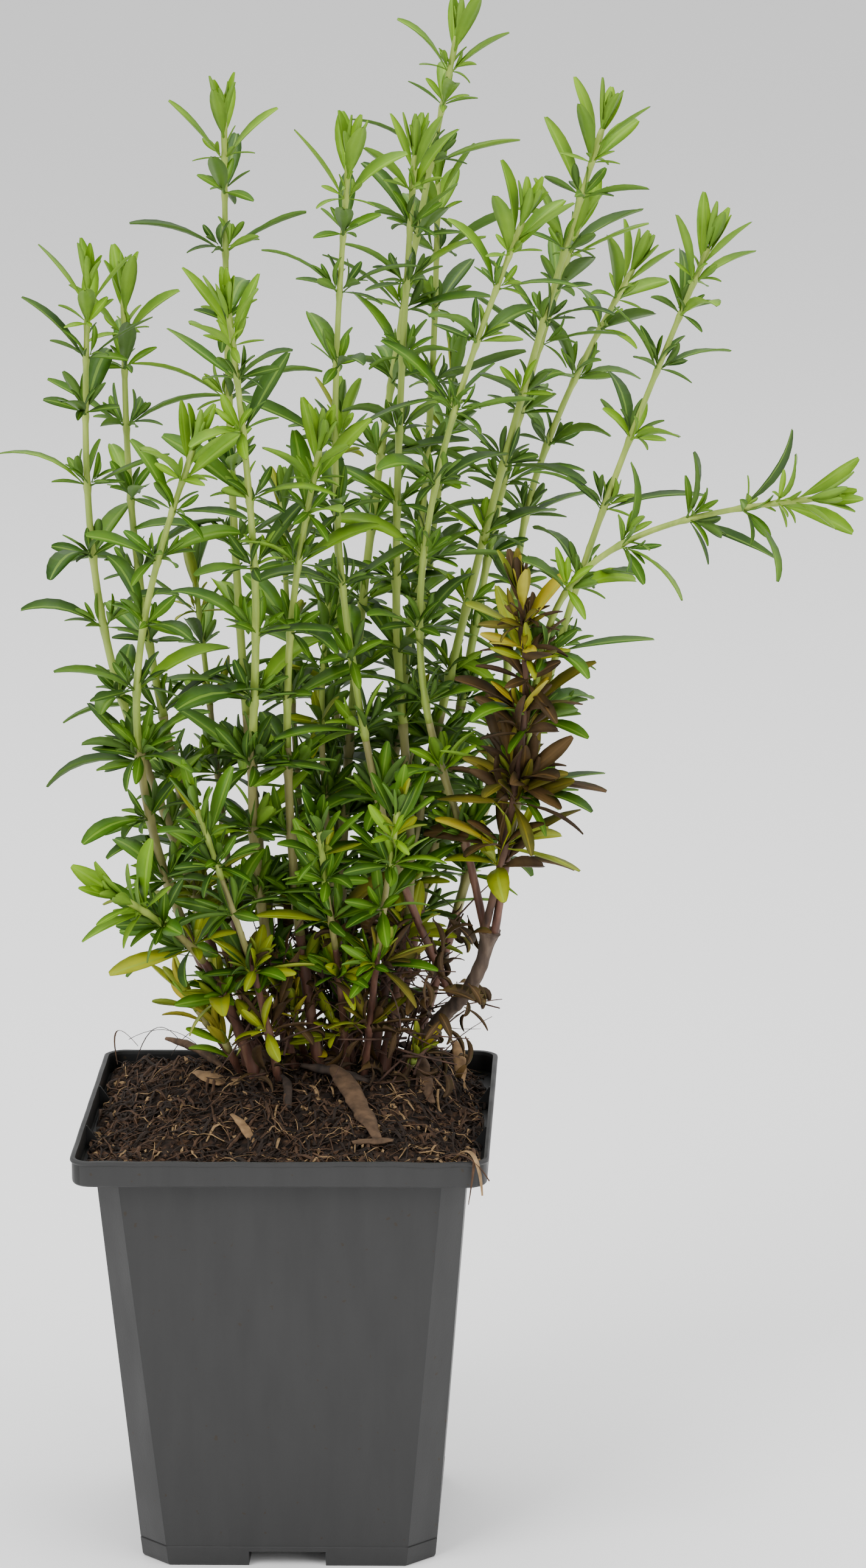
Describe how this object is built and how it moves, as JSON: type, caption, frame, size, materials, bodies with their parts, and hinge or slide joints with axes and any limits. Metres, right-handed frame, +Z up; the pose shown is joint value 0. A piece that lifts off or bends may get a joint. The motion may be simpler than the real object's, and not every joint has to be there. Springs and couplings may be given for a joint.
{
  "type": "potted roseus hyssop herb",
  "caption": "Bushy narrow-leaved herb with slender upright stems, growing in a dark square tapered nursery pot filled with peat.",
  "frame": {"origin": "middle of the pot's flat underside", "axes": "+Z is up, -Y is the front of the pot as pictured, +X is to the picture's right"},
  "size_m": [0.1872, 0.1262, 0.3397],
  "materials": {
    "pot": "dark grey moulded plastic with faint upright fluting and scuffs",
    "soil": "dark fibrous peat with bark pieces",
    "bark": "brown to purple-brown woody stem",
    "leaf": "mid green leaf with a pale midrib",
    "young_leaf": "fresh light green leaf",
    "tuft_leaf": "yellow-green leaf near the soil",
    "dead_leaf": "dead brown and yellow leaf"
  },
  "bodies": {
    "root": {"pot": "pot", "soil": "soil", "branch": "bark", "stem_far_left": "bark", "stem_left": "bark", "stem_left_bent": "bark", "stem_left_low": "bark", "stem_tall_left": "bark", "stem_front_left": "bark", "stem_middle_low": "bark", "stem_tallest": "bark", "stem_behind": "bark", "stem_middle_right": "bark", "stem_right_tall": "bark", "stem_right_behind": "bark", "stem_right_thin": "bark", "stem_right": "bark", "stem_far_right": "bark", "stem_spreading": "bark", "stem_middle": "bark", "stem_dead": "bark", "shoot_far_left": "leaf", "shoot_left": "leaf", "shoot_left_bent": "leaf", "shoot_left_low": "leaf", "shoot_tall_left": "leaf", "shoot_front_left": "leaf", "shoot_middle_low": "leaf", "shoot_tallest": "leaf", "shoot_behind": "leaf", "shoot_middle_right": "leaf", "shoot_right_tall": "leaf", "shoot_right_behind": "leaf", "shoot_right_thin": "leaf", "shoot_right": "leaf", "shoot_far_right": "leaf", "shoot_spreading": "leaf", "shoot_middle": "leaf", "shoot_dead": "dead_leaf", "shoot_small_back_left": "young_leaf", "shoot_small_back_middle": "young_leaf", "shoot_small_back": "young_leaf", "shoot_small_back_right": "young_leaf", "shoot_small_middle": "young_leaf", "shoot_small_front_left": "young_leaf", "shoot_small_front": "young_leaf", "shoot_small_front_right": "young_leaf", "shoot_tuft_left": "tuft_leaf", "shoot_tuft_far_left": "tuft_leaf", "shoot_tuft_back": "tuft_leaf", "shoot_tuft_middle": "tuft_leaf", "shoot_tuft_right": "tuft_leaf"}
  },
  "joints": []
}
